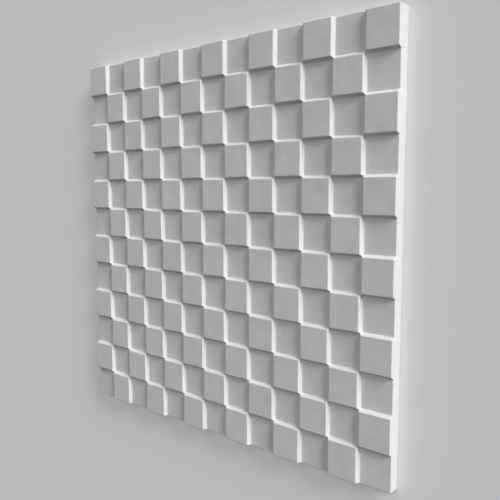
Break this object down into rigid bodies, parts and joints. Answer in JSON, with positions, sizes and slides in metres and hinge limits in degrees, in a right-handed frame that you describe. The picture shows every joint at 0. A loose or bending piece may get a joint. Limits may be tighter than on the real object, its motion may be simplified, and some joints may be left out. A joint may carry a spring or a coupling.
{
  "type": "3d wall panel tile",
  "caption": "Square cast gypsum wall panel with a shallow chequer of raised blocks and sunk fields on its face and a flat back for adhesive.",
  "frame": {"origin": "middle of the flat back, which the panel lies on", "axes": "+Z out of the face, through the thickness; +Y up the wall and +X to the right on the wall, seen from the room"},
  "size_m": [0.5, 0.5, 0.019],
  "materials": {
    "gypsum": "matte"
  },
  "bodies": {
    "root": {"relief_panel": "gypsum"}
  },
  "joints": []
}
